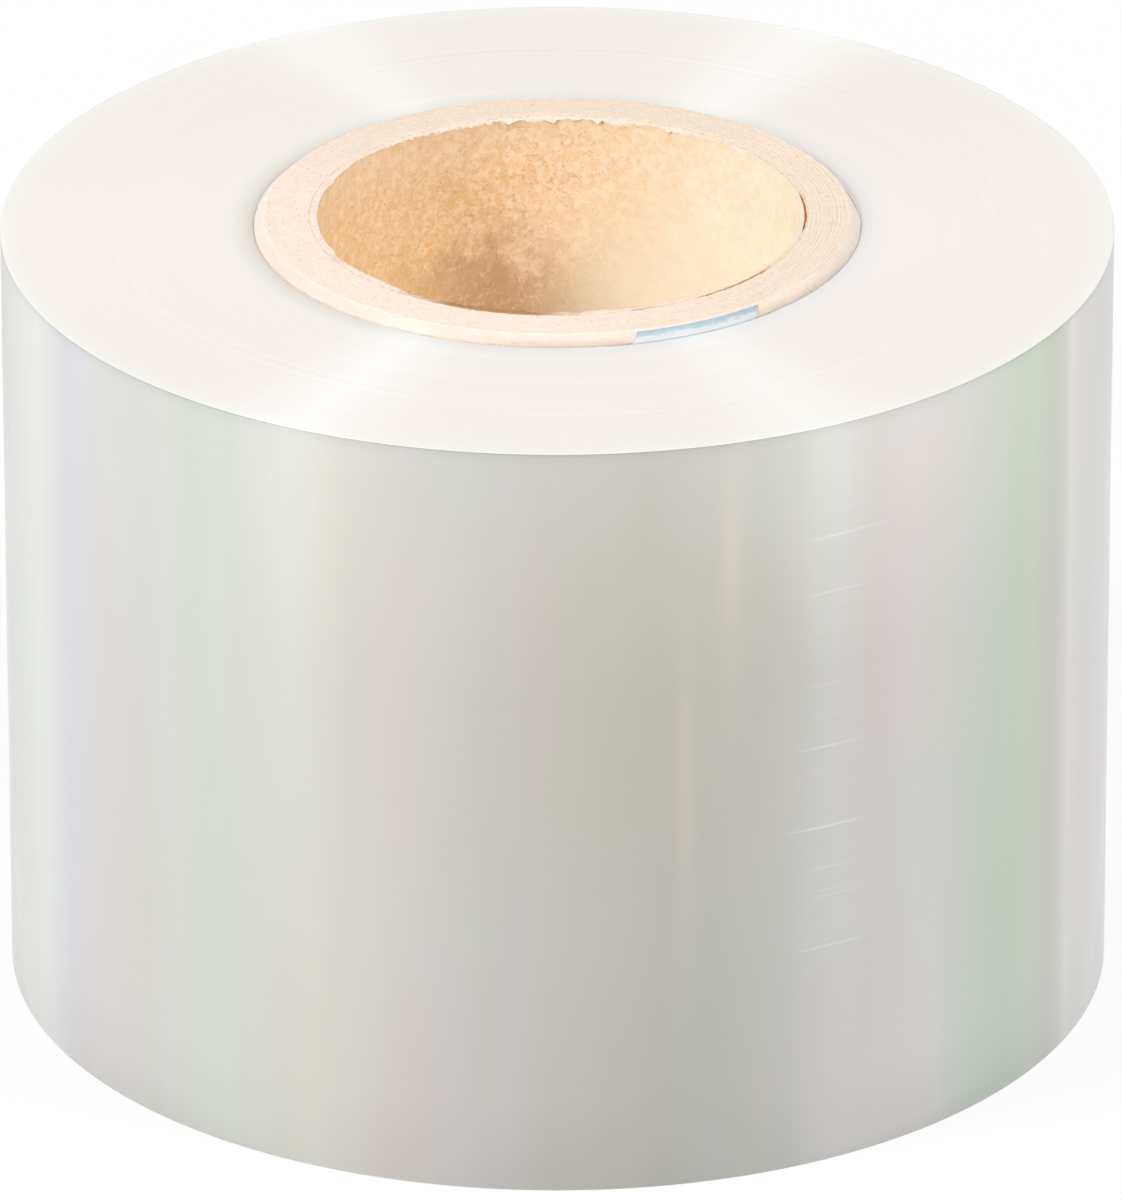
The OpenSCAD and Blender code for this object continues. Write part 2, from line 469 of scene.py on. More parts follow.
def makeFilmSide(values):
    material, tree = newTree("Clear polyolefin film, wound")
    place = rollPlace(tree)

    def filmGrain(name, detail=1.0):
        around, up = values[name]
        return rollGrain(tree, place, filmRadius, around, "height", up, detail)

    # The painted sheen tints run up the roll, lean a little and wander. The painted streaks run
    # straight up, over greys that hold a painted reflection
    colour = rampByAngle(tree, place["angle"], values["greysWithPaintedReflection"])
    slow = filmGrain("tintGrain")
    bend = addNode(tree, "MapRange", {}, {
        "Value": slow, "From Min": 0.2, "From Max": 0.8,
        "To Min": -values["tintWander"], "To Max": values["tintWander"],
    })
    aboveMiddle = addNode(tree, "Math", "SUBTRACT", {0: place["height"], 1: filmTop / 2})
    lean = addNode(tree, "Math", "MULTIPLY_ADD", {0: aboveMiddle, 1: values["tintLean"], 2: bend})
    angle = addNode(tree, "Math", "ADD", {0: place["angle"], 1: lean})
    for heights, paintedSheenTints in values["paintedSheenTints"]:
        colour = tintAround(tree, place, values, angle, colour, heights, paintedSheenTints)
    # Painted streaks: painted light high on the +X half, and painted iridescent hairlines
    for degrees, width, low, high, gain in values["paintedStreaks"]:
        across = bandMask(tree, place["angle"], math.radians(degrees), math.radians(width))
        along = bandMask(tree, place["height"], (low + high) / 2, (high - low) / 2)
        share = addNode(tree, "Math", "MULTIPLY", {0: across, 1: along})
        brighter = addNode(tree, "VectorMath", "MULTIPLY", {0: colour, 1: gain})
        colour = addNode(tree, "Mix", {"data_type": "VECTOR"}, {0: share, 4: colour, 5: brighter}, out=1)

    pearl = addNode(tree, "ValToRGB", {}, {0: filmGrain("pearlGrain")}, stops=values["pearl"])
    colour = addNode(tree, "VectorMath", "MULTIPLY", {0: colour, 1: pearl})
    # Painted light by height: brighter towards the top, with a thin darker line at the very top
    height = addNode(tree, "Math", "MULTIPLY", {0: place["height"], 1: 1 / filmTop})
    shade = addNode(tree, "ValToRGB", {}, {0: height}, stops=values["heights"])
    shade = addGrain(tree, place, filmRadius, "height", shade, values["grain"])
    colour = addNode(tree, "VectorMath", "SCALE", {0: colour, "Scale": shade})

    # Painted glints of the scratches in the lamp's streak
    scratchGlints = scratchGlintMask(tree, place, values)
    share = addNode(tree, "Math", "MULTIPLY", {0: scratchGlints, 1: values["scratchShare"]})
    colour = layTones(tree, values, colour, ((share, "scratchGlintColour"),))
    finishMaterial(tree, values, colour, filmGrain("drawnGrain", 0.0), {
        **drawnShine(tree, values),
        "Coat Weight": values["clearSkin"],
        "Coat Roughness": values["clearSkinRoughness"],
    })
    return material


# The same film seen on its slit edges. Thousands of cut edges make a milky satin face with
# hair-fine rings, which draws each lamp out into a pale arm from the core to the rim.
filmEnd = {
    # Colour by distance from the core in mm, with painted shade and a painted contact shadow next to
    # the core and a painted glow, slightly whiter, towards the rim; the last stop is the rim
    "colours": (
        (0.0, "#C4BFB6"), (0.8, "#CEC9C1"), (2.0, "#D7D3CC"), (3.4, "#DEDAD4"), (5.0, "#E3DCD7"),
        (35.0, "#E3DCD7"), (37.5, "#E3DED8"), (39.4, "#E3E2DD"),
    ),
    # The painted shade ring at the core is deepest to this side, and fades to these colours opposite it
    "shadeRingSide": (-0.7, 0.7, 0.0),
    "faintShadeRing": ((0.0, "#D6D5D4"), (1.5, "#DCD9D8"), (3.4, "#E1DCD9"), (5.0, "#E3DCD7"), (39.4, "#E3DCD7")),
    # Grain in mm round the roll and out along its radius, with its share of brightness
    "grain": ((150, 0.5, 0.0015), (60, 9, 0.003)),
    "ringGrain": (90, 0.3),
    "bump": (0.25, 0.01),
    "roughness": 0.48,
    "anisotropy": 1.0,
    "specular": 0.82,
    "sheenTint": "#D2F6FF",  # the milky edges scatter a cool white
}


def makeFilmEnd(values):
    material, tree = newTree("Clear polyolefin film, slit edges")
    place = rollPlace(tree)
    fromCore = addNode(tree, "MapRange", {}, {
        "Value": place["radius"], "From Min": coreRadius, "From Max": filmRadius,
    })
    ramps = []
    for name in ("colours", "faintShadeRing"):
        stops = [(distance / (filmRadius - coreRadius), tint) for distance, tint in values[name]]
        ramps.append(addNode(tree, "ValToRGB", {}, {0: fromCore}, stops=stops))
    # Painted shade round the core, deepest towards one side; away from the core the colours hold
    towards = addNode(tree, "VectorMath", "DOT_PRODUCT", {
        0: place["around"], 1: values["shadeRingSide"],
    }, out="Value")
    shadeRingShare = addNode(tree, "MapRange", {}, {"Value": towards, "From Min": -0.9, "From Max": 0.3})
    nearRim = addNode(tree, "MapRange", {}, {"Value": fromCore, "From Min": 0.2, "From Max": 0.3})
    shadeRingShare = addNode(tree, "Math", "MAXIMUM", {0: shadeRingShare, 1: nearRim})
    colour = layTones(tree, values, ramps[1], ((shadeRingShare, ramps[0]),))
    shade = addGrain(tree, place, filmRadius, "radius", 1.0, values["grain"])
    colour = addNode(tree, "VectorMath", "SCALE", {0: colour, "Scale": shade})
    around, outwards = values["ringGrain"]
    rings = rollGrain(tree, place, filmRadius, around, "radius", outwards)
    finishMaterial(tree, values, colour, rings, {
        **drawnShine(tree, values),
        "Specular Tint": linearColour(values["sheenTint"]),
    })
    return material


# Links a mesh and its materials as one object of the scene
def newPiece(name, points, faces, materials, faceMaterial, sharpAngle):
    mesh = bpy.data.meshes.new(name)
    mesh.from_pydata((points * mm).tolist(), [], faces.tolist())
    for material in materials:
        mesh.materials.append(material)
    mesh.polygons.foreach_set("material_index", faceMaterial.astype(np.int32))
    mesh.shade_smooth()
    mesh.set_sharp_from_angle(angle=math.radians(sharpAngle))
    mesh.update()
    piece = bpy.data.objects.new(name, mesh)
    bpy.context.scene.collection.objects.link(piece)
    return piece


# A closed ring of quads. Each loop is (radius, height, material of the strip up to the next
# loop), in mm, where radius and height are numbers or have one value for each angle.
def ringPiece(name, angle, loops, materials, sharpAngle):
    segments = len(angle)
    radius = np.stack([np.broadcast_to(loop[0], segments) for loop in loops])
    height = np.stack([np.broadcast_to(loop[1], segments) for loop in loops])
    points = np.stack([radius * np.cos(angle), radius * np.sin(angle), height], axis=2).reshape(-1, 3)
    row, column = np.meshgrid(np.arange(len(loops)), np.arange(segments), indexing="ij")
    nextRow, nextColumn = (row + 1) % len(loops), (column + 1) % segments
    faces = np.stack([
        row * segments + column,
        nextRow * segments + column,
        nextRow * segments + nextColumn,
        row * segments + nextColumn,
    ], axis=2).reshape(-1, 4)
    faceMaterial = np.repeat([loop[2] for loop in loops], segments)
    return newPiece(name, points, faces, materials, faceMaterial, sharpAngle)


# A line that wanders round the roll, with waves between two lengths in mm on a circle
def wander(random, angle, circle, longest, shortest):
    around = 2 * math.pi * circle
    counts = np.arange(max(1, round(around / longest)), round(around / shortest) + 1)
    phases = random.uniform(0, 2 * math.pi, len(counts))
    sizes = random.normal(0, 1, len(counts))
    line = (sizes[:, None] * np.cos(counts[:, None] * angle + phases[:, None])).sum(axis=0)
    return line / max(1e-9, np.sqrt((sizes ** 2).sum() / 2))


# One over a range of degrees and zero outside it, with soft ends
def window(degrees, start, end, soft):
    middle, half = (start + end) / 2, (end - start) / 2
    away = np.abs((degrees - middle + 180) % 360 - 180)
    share = np.clip((half - away) / soft + 0.5, 0, 1)
    return share * share * (3 - 2 * share)


# The film's shape: its turns stand in and out a little on both ends, and the last one ends in a step
filmRoll = {
    "segments": 512,
    "clearance": 0.03,  # mm that keep the film off the core
    "coreGap": 0.17,  # mm more between the core and the first turn, which the tape takes up
    "tapeRoom": (-80, -46),  # degrees from +X where the tape comes out at the top end
    "topRings": 66,
    "bottomRings": 44,
    "ringOffset": 0.02,  # mm that turns stand in or out, as a typical amount
    "edgeRound": 0.12,  # mm
    "filmThickness": 0.08,  # mm, the step where the last turn ends
    "tailAngle": 118,  # degrees from +X
    "tailStep": 0.0012,  # radians over which that step falls
}


def makeFilmRoll(values):
    random = np.random.default_rng(11)
    # Two more columns of points stand close together at the film's tail
    tail, step = math.radians(values["tailAngle"]), values["tailStep"]
    even = np.linspace(0, 2 * math.pi, values["segments"], endpoint=False)
    angle = np.sort(np.concatenate([even, [tail, tail + step]]))
    sinceTail = (angle - tail - step / 2) % (2 * math.pi) / (2 * math.pi)
    outer = filmRadius - values["filmThickness"] * sinceTail
    tapeFrom, tapeTo = values["tapeRoom"]
    tape = window(np.degrees(angle), tapeFrom, tapeTo, 3)
    inner = coreRadius + values["clearance"] + values["coreGap"] * tape

    def endLoops(count, level, outward):
        spread = np.sort(random.uniform(0.4, 1.6, count).cumsum())
        spread = (spread - spread[0]) / (spread[-1] - spread[0])
        loops = []
        for share in spread:
            offset = abs(random.normal(0, values["ringOffset"]))
            slow = 0.3 * offset * wander(random, angle, filmRadius, 300, 60)
            reach = inner + share * (outer - values["edgeRound"] - inner)
            loops.append((reach, level + outward * (-offset + np.minimum(slow, offset)), 1))
        return loops

    top = endLoops(values["topRings"], filmTop, 1)
    edge = values["edgeRound"]
    side = [
        (outer - 0.3 * edge, filmTop - 0.3 * edge, 0),
        (outer, filmTop - edge, 0),
        (outer, filmTop * 0.66, 0),
        (outer, filmTop * 0.33, 0),
        (outer, edge, 0),
        (outer - 0.3 * edge, 0.3 * edge, 1),
    ]
    bottom = endLoops(values["bottomRings"], 0.0, -1)[::-1]
    first = coreRadius + values["coreGap"] + values["clearance"]
    bore = [(first, 0.6, 1), (first, filmTop - 0.6, 1)]
    loops = top + side + bottom + bore
    return ringPiece("filmRoll", angle, loops, [makeFilmSide(filmSide), makeFilmEnd(filmEnd)], 35)


filmPiece = makeFilmRoll(filmRoll)
print("film in place")


# Recycled paperboard, sawn across. The cut face is pale and fuzzy, shows its plies as rings, and
# is flecked with torn fibres.
cutPaper = {
    "pale": "#E8D3C5",
    "tan": "#D6B995",
    # Painted highlight, on the middle of each ply and on the corner where the shoulder starts
    "lit": "#F0E5DC",
    "brown": "#A57C52",
    "footShade": "#8A847B",  # painted shade at the shoulder's foot, where it meets the film
    # The worn shoulder by angle from the front, in degrees, towards +X
    "shoulder": (
        (-180, "#EADACD"), (-160, "#EAD7C8"), (-135, "#E8DCD0"), (-110, "#E8E0D9"), (-90, "#E8DCD0"),
        (-70, "#E1CFC2"), (-40, "#E1CFC2"), (-30, "#E1D5CB"), (-20, "#E1CFC2"), (0, "#E1CEC0"),
        (40, "#E4D2C2"), (60, "#E7D5C3"), (75, "#E6D8CA"), (90, "#E8DCD2"), (110, "#E9DFD8"),
        (135, "#DCD3CB"), (160, "#ECD8CA"), (180, "#EADACD"),
    ),
    "footShadeSide": (0.5, -0.87, 0.0),  # the painted shade lies at the shoulder's foot on this side
    "brownEdgeAndShade": (-36, 5),  # degrees from the front where the liner's edge is painted brown: its raw kraft, and painted shade under its curled edge
    "darkerRightAndFar": "#DACAB8",  # darker towards +X, and on the outer plies towards +Y
    "plyLineWidth": 0.2,  # mm
    "plyLineShare": 0.8,
    "plyHighlightShare": 0.5,
    "fleckShare": 0.55,
    "chipShare": 0.6,
    "cornerHighlightShare": 0.35,  # of the painted highlight on the worn corner where the shoulder starts
    "footShadeShare": 0.3,
    # Grain in mm round the roll and out along its radius, with its share of brightness
    "grain": ((1.8, 0.4, 0.02), (0.8, 0.7, 0.028), (9, 1.6, 0.018)),
    # The outermost ply ends at a slanting seam: its angle and radius at each end, and half its width
    "seamAngles": (92, 107),
    "seamRadii": (47.3, 46.1),
    "seamReach": 0.28,
    "bump": (0.6, 0.12),
    "roughness": 0.9,
    "specular": 0.3,
}


def makeCutPaper(values):
    material, tree = newTree("Paperboard, sawn end")
    place = rollPlace(tree)
    shade = addGrain(tree, place, boreRadius, "radius", 1.0, values["grain"])

    # The glue line between two plies shows as a tan ring, here and there
    drift = rollGrain(tree, place, boreRadius, 25, "radius", 500)
    depth = addNode(tree, "Math", "SUBTRACT", {0: place["radius"], 1: boreRadius})
    depth = addNode(tree, "Math", "MULTIPLY_ADD", {0: drift, 1: 0.4, 2: depth})
    ply = addNode(tree, "Math", "PINGPONG", {0: depth, 1: coreTube["plyThickness"] / 2})
    line = addNode(tree, "MapRange", smooth, {
        "Value": ply, "From Min": 0.0, "From Max": values["plyLineWidth"],
        "To Min": values["plyLineShare"], "To Max": 0.0,
    })
    where = rollGrain(tree, place, boreRadius, 8, "radius", 0.9)
    towards = addNode(tree, "SeparateXYZ", {}, {0: place["around"]}).node.outputs
    parted = addNode(tree, "MapRange", {}, {
        "Value": towards["X"], "From Min": -0.2, "From Max": 0.9, "To Min": 0.12,
    })
    shows = addNode(tree, "MapRange", {}, {"Value": where, "From Min": 0.42, "From Max": 0.66})
    shows = addNode(tree, "Math", "MULTIPLY", {0: shows, 1: parted})
    line = addNode(tree, "Math", "MULTIPLY", {0: line, 1: shows})
    # Painted highlight on the middle of each ply
    plyHighlight = addNode(tree, "MapRange", {}, {
        "Value": ply, "From Min": coreTube["plyThickness"] * 0.3, "From Max": coreTube["plyThickness"] * 0.5,
        "To Max": values["plyHighlightShare"],
    })
    plyHighlight = addNode(tree, "Math", "MULTIPLY", {0: plyHighlight, 1: shows})
    speckle = addNode(tree, "TexNoise", {}, {"Vector": place["point"], "Scale": 2.2, "Detail": 1.0})
    flecks = addNode(tree, "MapRange", {}, {
        "Value": speckle, "From Min": 0.57, "From Max": 0.75, "To Max": values["fleckShare"],
    })
    chips = addNode(tree, "MapRange", {}, {
        "Value": speckle, "From Min": 0.735, "From Max": 0.79, "To Max": values["chipShare"],
    })
    shoulderStart = coreRadius - coreTube["shoulderWidth"]
    # Painted highlight on the corner where the shoulder starts
    cornerHighlight = bandMask(tree, place["radius"], shoulderStart + 0.05, 0.2)
    cornerHighlight = addNode(tree, "Math", "MULTIPLY", {0: cornerHighlight, 1: values["cornerHighlightShare"]})

    startAngle, endAngle = (math.radians(degrees) for degrees in values["seamAngles"])
    seamRadius = addNode(tree, "MapRange", {}, {
        "Value": place["angle"], "From Min": startAngle, "From Max": endAngle,
        "To Min": values["seamRadii"][0], "To Max": values["seamRadii"][1],
    })
    offSeam = addNode(tree, "Math", "SUBTRACT", {0: place["radius"], 1: seamRadius})
    seam = bandMask(tree, offSeam, 0.0, values["seamReach"])
    ends = bandMask(tree, place["angle"], (startAngle + endAngle) / 2, (endAngle - startAngle) * 0.6)
    seam = addNode(tree, "Math", "MULTIPLY", {0: seam, 1: ends})

    # Darker towards +X, and on the outer plies towards +Y
    right = addNode(tree, "MapRange", {}, {"Value": towards["X"], "From Min": 0.0, "To Max": 0.7})
    far = addNode(tree, "MapRange", {}, {"Value": towards["Y"], "From Min": 0.2, "From Max": 0.9})
    outer = addNode(tree, "MapRange", {}, {
        "Value": place["radius"], "From Min": boreRadius - 0.5, "From Max": boreRadius + 2.5,
    })
    far = addNode(tree, "Math", "MULTIPLY", {0: far, 1: outer})
    darkerRightAndFar = addNode(tree, "Math", "MAXIMUM", {0: right, 1: far})
    worn = addNode(tree, "MapRange", {}, {
        "Value": place["radius"], "From Min": shoulderStart - 0.1, "From Max": shoulderStart + 0.3,
    })
    shoulder = rampByAngle(tree, place["angle"], values["shoulder"])
    # Painted shade at the shoulder's foot, towards the front and +X
    footShadeSide = addNode(tree, "VectorMath", "DOT_PRODUCT", {
        0: place["around"], 1: values["footShadeSide"],
    }, out="Value")
    footShade = addNode(tree, "MapRange", {}, {
        "Value": footShadeSide, "From Min": 0.55, "From Max": 0.85, "To Max": values["footShadeShare"],
    })
    foot = addNode(tree, "MapRange", {}, {
        "Value": place["radius"], "From Min": coreRadius - 1.0, "From Max": coreRadius - 0.2,
    })
    footShade = addNode(tree, "Math", "MULTIPLY", {0: footShade, 1: foot})
    # The liner's edge painted brown on the near side: raw kraft, and painted shade under the curl
    edgeFrom, edgeTo = (math.radians(degrees) for degrees in values["brownEdgeAndShade"])
    edge = bandMask(tree, place["angle"], (edgeFrom + edgeTo) / 2, (edgeTo - edgeFrom) * 0.65)
    tip = addNode(tree, "MapRange", {}, {
        "Value": place["radius"], "From Min": boreRadius + 1.0, "From Max": boreRadius + 0.6, "To Max": 1.5,
    })
    edge = addNode(tree, "Math", {"operation": "MULTIPLY", "use_clamp": True}, {0: edge, 1: tip})
    colour = layTones(tree, values, linearColour(values["pale"]), (
        (darkerRightAndFar, "darkerRightAndFar"), (flecks, "tan"), (plyHighlight, "lit"), (line, "tan"), (worn, shoulder),
        (cornerHighlight, "lit"), (footShade, "footShade"), (seam, "brown"), (chips, "brown"), (edge, "brown"),
    ))
    colour = addNode(tree, "VectorMath", "SCALE", {0: colour, "Scale": shade})
    fuzz = addNode(tree, "TexNoise", {}, {"Vector": place["point"], "Scale": 3.0, "Detail": 3.0})
    relief = addNode(tree, "Math", "MULTIPLY_ADD", {0: seam, 1: -2.0, 2: fuzz})
    finishMaterial(tree, values, colour, relief, {})
    return material


# Kraft paper, the unbleached liner of the bore. Coarse fibres lie every way and mottle it. It is
# painted browner towards -X, as painted shade on the wall that the key lamp doesn't reach, and
# painted darker in a patch lower down.
kraftLiner = {
    "pale": "#FFF4E5",
    "tan": "#FFEACE",
    "lightLowDown": "#FFF6E2",  # painted light: paler lower down on the +X side
    # Painted shade towards -X, the wall that the key lamp doesn't reach
    "shadedPale": "#FCDFB8",
    "shadedTan": "#F1C993",
    "dark": "#BE8B55",
    # Painted shade, darker in a ragged patch lower down the bore
    "lowShade": "#D9B088",
    "rawBoardAndShade": "#CDA26E",  # between the plies: raw brown board, darkened as painted shade inside the slits
    "light": "#FFEDCF",  # single fibres that catch the light
    "mottleSize": 1.3,  # mm
    "blotchSize": 4.5,  # mm
    # Painted shade, from full to none in mm along X, leaning with depth. The painted shade lower
    # down, in mm: how far below the top end it starts and is full, how ragged it is, and its middle
    # and reach along X
    "shadeEdge": (-6.0, 36.0),
    "shadeSlant": 0.62,
    "lowShadeDepths": (17, 29),
    "lowShadeRagged": 5.0,
    "lowShadePlace": (-11.0, 17.0),
    # Curly fibres: how wide they curl in mm, how thick they are, share and colour. Fewest show
    # up to the first place in mm along X, and all from the second
    "fibres": (
        (1.7, 0.055, 0.42, "light"), (1.3, 0.05, 0.44, "dark"), (1.1, 0.055, 0.36, "light"),
        (0.9, 0.05, 0.36, "dark"),
    ),
    "fibrePlaces": (-32.0, -4.0),
    "fewFibres": 0.32,
    "speckShare": 0.5,
    "bump": (0.5, 0.12),
    "roughness": 0.85,
    "specular": 0.3,
}


def makeKraftLiner(values):
    material, tree = newTree("Kraft paper liner")
    place = rollPlace(tree)
    mottle = addNode(tree, "TexNoise", {}, {
        "Vector": place["point"], "Scale": 1 / values["mottleSize"], "Detail": 3.0, "Roughness": 0.62,
        "Distortion": 0.5,
    })
    plainColour = addNode(tree, "ValToRGB", {}, {0: mottle}, stops=[(0.36, values["tan"]), (0.62, values["pale"])])
    shadedColour = addNode(tree, "ValToRGB", {}, {0: mottle}, stops=[
        (0.36, values["shadedTan"]), (0.64, values["shadedPale"]),
    ])

    # Painted shade: browner towards -X and darker in a patch lower down. Raw brown between the plies,
    # darkened inside the slits as painted shade
    sides = addNode(tree, "SeparateXYZ", {}, {0: place["point"]}, out="X")
    depth = addNode(tree, "Math", "SUBTRACT", {0: coreTop, 1: place["height"]})
    slanted = addNode(tree, "Math", "MULTIPLY_ADD", {0: depth, 1: values["shadeSlant"], 2: sides})
    shadedUpTo, unshadedFrom = values["shadeEdge"]
    shadedSide = addNode(tree, "MapRange", smooth, {
        "Value": slanted, "From Min": shadedUpTo, "From Max": unshadedFrom, "To Min": 1.0, "To Max": 0.0,
    })
    shadeNearTop = addNode(tree, "MapRange", {}, {"Value": depth, "From Min": 1.0, "From Max": 10.0, "To Min": 0.72})
    shadedSide = addNode(tree, "Math", "MULTIPLY", {0: shadedSide, 1: shadeNearTop})
    # Painted light, paler lower down
    lightLowDown = addNode(tree, "MapRange", {}, {"Value": depth, "From Min": 8.0, "From Max": 28.0, "To Max": 0.85})
    blotches = addNode(tree, "TexNoise", {}, {
        "Vector": place["point"], "Scale": 1 / values["blotchSize"], "Detail": 2.0, "Roughness": 0.6,
    })
    ragged = addNode(tree, "MapRange", {}, {
        "Value": blotches, "From Min": 0.3, "From Max": 0.7,
        "To Min": -values["lowShadeRagged"], "To Max": values["lowShadeRagged"],
    })
    ragged = addNode(tree, "Math", "ADD", {0: place["height"], 1: ragged})
    # Painted shade in a ragged patch lower down
    starts, full = values["lowShadeDepths"]
    low = addNode(tree, "MapRange", smooth, {
        "Value": ragged, "From Min": coreTop - full, "From Max": coreTop - starts,
        "To Min": 1.0, "To Max": 0.0,
    })
    middle, reach = values["lowShadePlace"]
    patch = bandMask(tree, sides, middle, reach)
    lowShade = addNode(tree, "Math", "MULTIPLY", {0: low, 1: patch})
    colour = layTones(tree, values, plainColour, ((lightLowDown, "lightLowDown"), (shadedSide, shadedColour), (lowShade, "lowShade")))
    shade = addNode(tree, "MapRange", {}, {
        "Value": blotches, "From Min": 0.3, "From Max": 0.7, "To Min": 0.965, "To Max": 1.03,
    })
    colour = addNode(tree, "VectorMath", "SCALE", {0: colour, "Scale": shade})
    # Raw brown inside the slits between the plies, darkened as painted shade
    between = addNode(tree, "MapRange", {}, {
        "Value": place["radius"], "From Min": boreRadius + 0.4, "From Max": boreRadius + 0.5,
    })
    colour = layTones(tree, values, colour, ((between, "rawBoardAndShade"),))

    # Fibres run along the thin lines where a noise passes its middle, broken up by the noise before
    few, many = values["fibrePlaces"]
    shows = addNode(tree, "MapRange", {}, {
        "Value": sides, "From Min": few, "From Max": many, "To Min": values["fewFibres"],
    })
    showsDark = addNode(tree, "Math", "MULTIPLY", {0: shows, 1: shadedSide})
    before = mottle
    for curl, thickness, share, tint in values["fibres"]:
        swirl = addNode(tree, "TexNoise", {}, {"Vector": place["point"], "Scale": 1 / curl, "Detail": 1.0})
        strokes = bandMask(tree, swirl, 0.5, thickness)
        broken = addNode(tree, "MapRange", {}, {
            "Value": before, "From Min": 0.48, "From Max": 0.58, "To Max": share,
        })
        before = swirl
        seen = showsDark if tint == "dark" else shows
        strokes = addNode(tree, "Math", "MULTIPLY", {0: strokes, 1: seen})
        strokes = addNode(tree, "Math", "MULTIPLY", {0: strokes, 1: broken})
        colour = layTones(tree, values, colour, ((strokes, tint),))

    specks = addNode(tree, "TexNoise", {}, {"Vector": place["point"], "Scale": 1.7, "Detail": 1.0})
    specks = addNode(tree, "MapRange", {}, {
        "Value": specks, "From Min": 0.7, "From Max": 0.76, "To Max": values["speckShare"],
    })
    specks = addNode(tree, "Math", "MULTIPLY", {0: specks, 1: shadedSide})
    colour = layTones(tree, values, colour, ((specks, "dark"),))
    finishMaterial(tree, values, colour, mottle, {})
    return material


# The core's shape: the sawn end is worn round its outside, and the inner ply frays and comes loose
coreTube = {
    "segments": 768,
    "plyThickness": 0.65,  # mm
    "shoulderWidth": 1.6,  # mm
    "shoulderHeight": 1.5,  # mm
    # Slits where the inner ply has come loose: from and to in degrees from +X, share of the width
    "slits": ((-72, -67.5, 0.8), (-55, -33, 1.8), (-9, 11, 1.3)),
    "slitDepth": 0.35,  # mm
    "slitWidth": 0.12,  # mm
    # How far the inner ply's edge curls into the bore: angle from +X, half width, and mm
    "curls": ((225, 75, 0.5), (0, 180, 0.12)),
    "fringe": (58, 128, 0.22),  # the far edge hangs down in fringes: from, to, and mm
    # Bits of the inner ply that hang into the bore: angle from +X, and how far in mm
    "teeth": ((80, 0.25), (85.5, 0.12), (91, 0.2), (100.7, 0.3), (106, 0.12), (128, 0.12), (62, 0.15)),
    # Tears in its edge: angle from +X, width in degrees and depth in mm
    "tears": ((76, 4.5, 0.7), (96, 3.0, 0.35), (118, 5.0, 0.4), (160, 4.0, 0.4),
              (176, 6.0, 0.2), (205, 4.0, 0.4), (232, 5.0, 0.3), (40, 4.0, 0.4)),
    "fuzz": 0.06,  # mm that the cut face rises and falls
    "boreRows": 36,  # rows of points down the bore, closer together near the top
    "boreCrowding": 2.2,
}


# Radius of the core's outside at a height in mm
def coreOutside(height):
    fall = np.clip((height - (coreTop - coreTube["shoulderHeight"])) / coreTube["shoulderHeight"], 0, 1)
    return coreRadius - coreTube["shoulderWidth"] * fall


